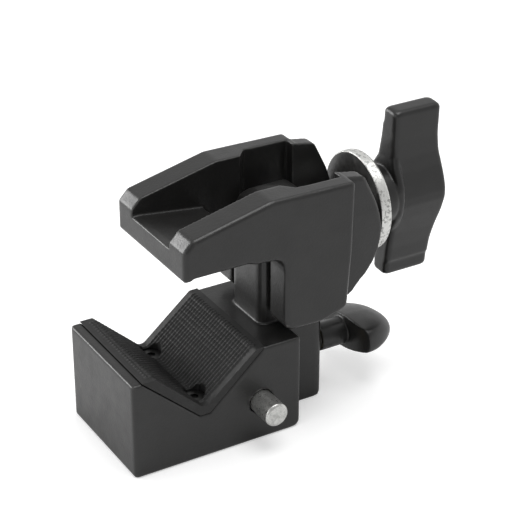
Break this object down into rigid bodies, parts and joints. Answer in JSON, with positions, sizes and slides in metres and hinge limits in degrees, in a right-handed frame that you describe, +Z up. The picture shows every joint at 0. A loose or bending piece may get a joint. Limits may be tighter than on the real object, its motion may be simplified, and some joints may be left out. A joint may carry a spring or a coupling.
{
  "type": "super clamp",
  "caption": "Cast two-jaw clamp with a V seat for tubes, a hinged upper jaw closed by a screw with a T-handle, and a hexagonal stud socket with a locking knob and a sprung pin.",
  "frame": {"origin": "on the underside's mid-line, at the middle of the flat land just ahead of the stud socket, whose vertical axis is 12.15 mm behind it", "axes": "+X back from the jaws to the knobs, +Y along the gripped tube, away from the safety pin's button, +Z up from the lower jaw to the upper jaw"},
  "size_m": [0.1303, 0.0552, 0.0965],
  "materials": {
    "cast_black": "satin black powder coat on cast alloy",
    "insert_plastic": "matte moulded plastic",
    "knob_plastic": "satin black moulded plastic",
    "bright_steel": "machined, zinc plated",
    "black_steel": "black oxide",
    "brass": "machined"
  },
  "bodies": {
    "base": {"lower_jaw": "cast_black", "lower_jaw_liner": "insert_plastic", "liner_screw_near": "black_steel", "liner_screw_far": "black_steel", "jaw_pivot_pin": "bright_steel", "pivot_spacer_near": "insert_plastic", "pivot_spacer_far": "insert_plastic", "jaw_return_spring": "bright_steel", "handle_insert": "brass", "lock_insert": "brass", "safety_pin_spring": "bright_steel", "safety_pin_plug": "black_steel"},
    "jaw": {"upper_jaw": "cast_black", "upper_jaw_pad": "insert_plastic"},
    "plate": {"pressure_plate": "bright_steel"},
    "handle": {"t_handle": "knob_plastic", "handle_screw": "bright_steel", "plate_ring": "bright_steel", "thrust_washer": "bright_steel", "handle_cross_pin": "bright_steel"},
    "lock_tip": {"lock_tip": "brass"},
    "lock_knob": {"lock_knob": "knob_plastic", "lock_screw": "black_steel"},
    "safety_pin": {"safety_pin": "bright_steel"}
  },
  "joints": [
    {"name": "plate_travel", "type": "slide", "parent": "base", "child": "plate", "axis": [1, 0, 0], "range_m": [-0.01125, 0.0065]},
    {"name": "handle_turn", "type": "hinge", "parent": "plate", "child": "handle", "pos_m": [0.056, 0, 0.0652], "axis": [1, 0, 0], "range_deg": [-2702, 1562]},
    {"name": "jaw_tilt", "type": "hinge", "parent": "base", "child": "jaw", "pos_m": [0.02335, 0, 0.0465], "axis": [0, 1, 0], "range_deg": [-43, 24.9], "deforming": ["jaw_return_spring"]},
    {"name": "lock_travel", "type": "slide", "parent": "base", "child": "lock_tip", "axis": [1, 0, 0], "range_m": [-0.003, 0.0045]},
    {"name": "lock_turn", "type": "hinge", "parent": "lock_tip", "child": "lock_knob", "pos_m": [0.038, 0, 0.0164], "axis": [1, 0, 0], "range_deg": [-721, 1081]},
    {"name": "safety_pin_press", "type": "slide", "parent": "base", "child": "safety_pin", "axis": [0, 1, 0], "range_m": [0, 0.0065], "deforming": ["safety_pin_spring"]}
  ],
  "couplings": [
    {"joint": "handle_turn", "follows": "plate_travel", "rad_per_m": 4188.8},
    {"joint": "jaw_tilt", "follows": "plate_travel", "rad_per_m": 66.667},
    {"joint": "lock_turn", "follows": "lock_travel", "rad_per_m": 4188.8}
  ]
}
